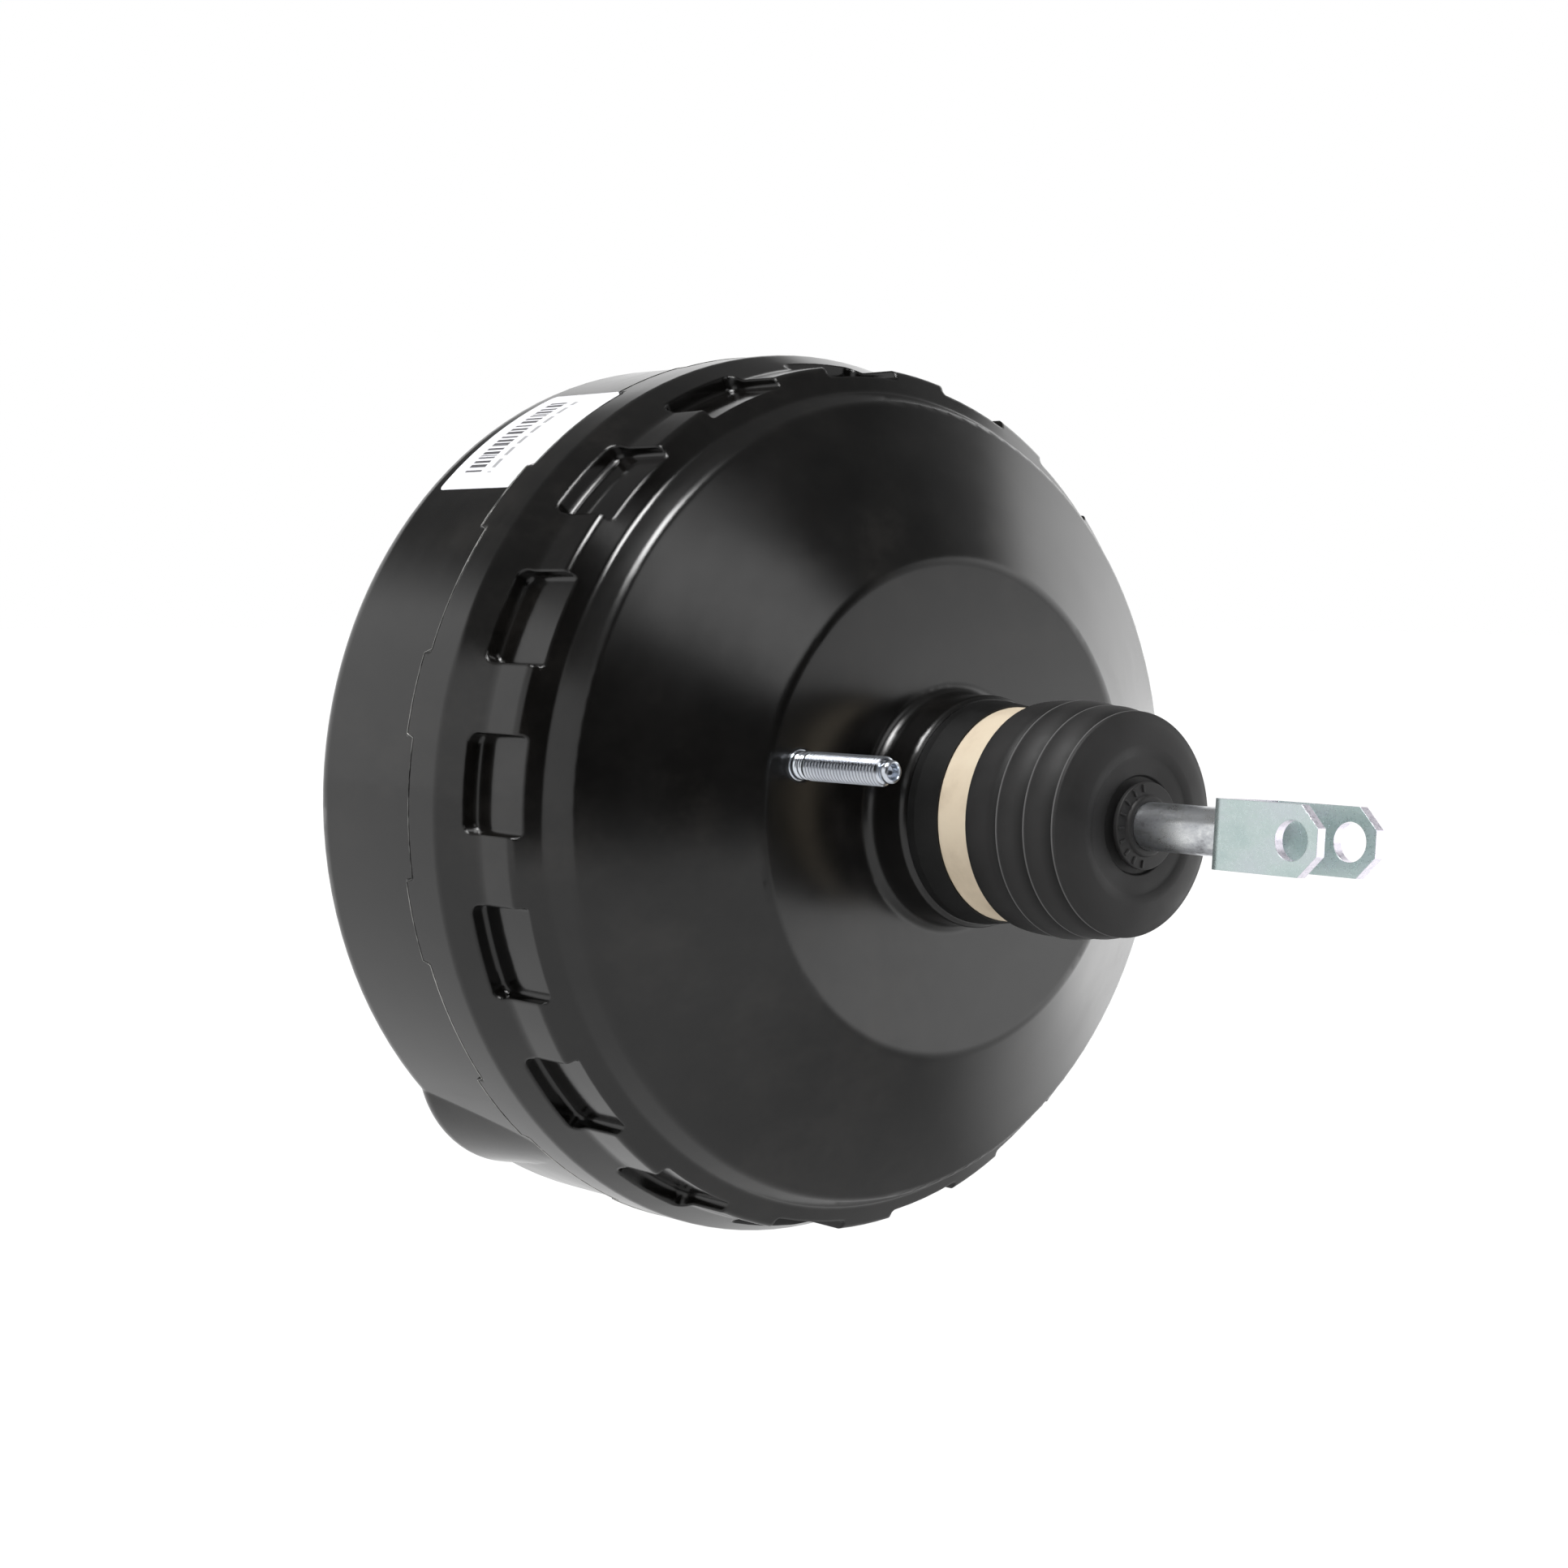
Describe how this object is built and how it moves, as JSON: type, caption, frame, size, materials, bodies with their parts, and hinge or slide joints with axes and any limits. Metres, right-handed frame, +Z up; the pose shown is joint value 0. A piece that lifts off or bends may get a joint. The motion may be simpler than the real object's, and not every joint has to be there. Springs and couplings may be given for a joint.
{
  "type": "brake booster",
  "caption": "Vacuum brake booster: two-piece pressed shell, sliding power piston with valve train, rubber boot, pedal pushrod with fork, and mounting studs",
  "frame": {"origin": "centre of the flat rear mounting face, on the booster's axis", "axes": "+Y forward along the booster's axis to the master cylinder side, -Y to the pedal, +Z up, +X to the right seen from the pedal side"},
  "size_m": [0.262, 0.313, 0.262],
  "materials": {
    "black_paint": "semi-gloss black stove enamel",
    "zinc_stud": "bright zinc plated steel",
    "zinc_fork": "zinc plated steel with a faint green passivation",
    "zinc_rod": "zinc plated forged steel",
    "cream_moulding": "cream thermoset moulding, matt",
    "boot_rubber": "matt black moulded rubber",
    "seal_rubber": "black sealing rubber",
    "plain_steel": "plain pressed steel",
    "spring_steel": "oiled spring steel",
    "filter_foam": "open-cell foam",
    "filter_felt": "felt",
    "valve_plastic": "black nylon moulding"
  },
  "bodies": {
    "housing": {"rear_shell": "black_paint", "front_shell": "black_paint", "rear_backing_plate": "plain_steel", "front_backing_plate": "plain_steel", "rear_studs": "zinc_stud", "front_studs": "zinc_stud", "partition": "plain_steel", "partition_seal": "seal_rubber", "rear_diaphragm": "seal_rubber", "front_diaphragm": "seal_rubber", "guide_seal": "seal_rubber", "seal_retainer": "plain_steel", "front_seal": "seal_rubber", "return_spring": "spring_steel", "vacuum_grommet": "seal_rubber", "check_valve_body": "valve_plastic", "check_valve_spring": "spring_steel"},
    "power_piston": {"valve_body": "cream_moulding", "rear_diaphragm_plate": "plain_steel", "front_diaphragm_plate": "plain_steel", "plate_lock_ring": "plain_steel", "stop_key": "plain_steel", "reaction_disc": "seal_rubber", "output_rod": "zinc_rod", "output_rod_retainer": "plain_steel", "poppet_valve": "seal_rubber", "poppet_retainer": "plain_steel", "poppet_spring": "spring_steel", "rod_return_spring": "spring_steel", "air_filter": "filter_foam", "silencer": "filter_felt", "filter_retainer": "plain_steel", "boot": "boot_rubber"},
    "plunger": {"plunger": "plain_steel"},
    "pushrod": {"input_rod": "zinc_rod", "fork": "zinc_fork", "boot_collar": "boot_rubber", "rod_spring_seat": "plain_steel"},
    "check_disc": {"check_valve_disc": "seal_rubber"}
  },
  "joints": [
    {"name": "piston_stroke", "type": "slide", "parent": "housing", "child": "power_piston", "axis": [0, 1, 0], "range_m": [0, 0.03], "stiffness_N_per_m": 6000, "springref_m": -0.02, "deforming": ["return_spring", "rear_diaphragm", "front_diaphragm", "boot"]},
    {"name": "plunger_travel", "type": "slide", "parent": "power_piston", "child": "plunger", "axis": [0, 1, 0], "range_m": [0, 0.0015], "stiffness_N_per_m": 8000, "springref_m": -0.005, "deforming": ["rod_return_spring"]},
    {"name": "pushrod_swing", "type": "hinge", "parent": "plunger", "child": "pushrod", "pos_m": [0, 0.026, 0], "axis": [1, 0, 0], "range_deg": [-1.5, 1.5]},
    {"name": "check_valve_lift", "type": "slide", "parent": "housing", "child": "check_disc", "axis": [0, 1, 0], "range_m": [0, 0.0015], "stiffness_N_per_m": 100, "springref_m": -0.003, "deforming": ["check_valve_spring"]}
  ]
}
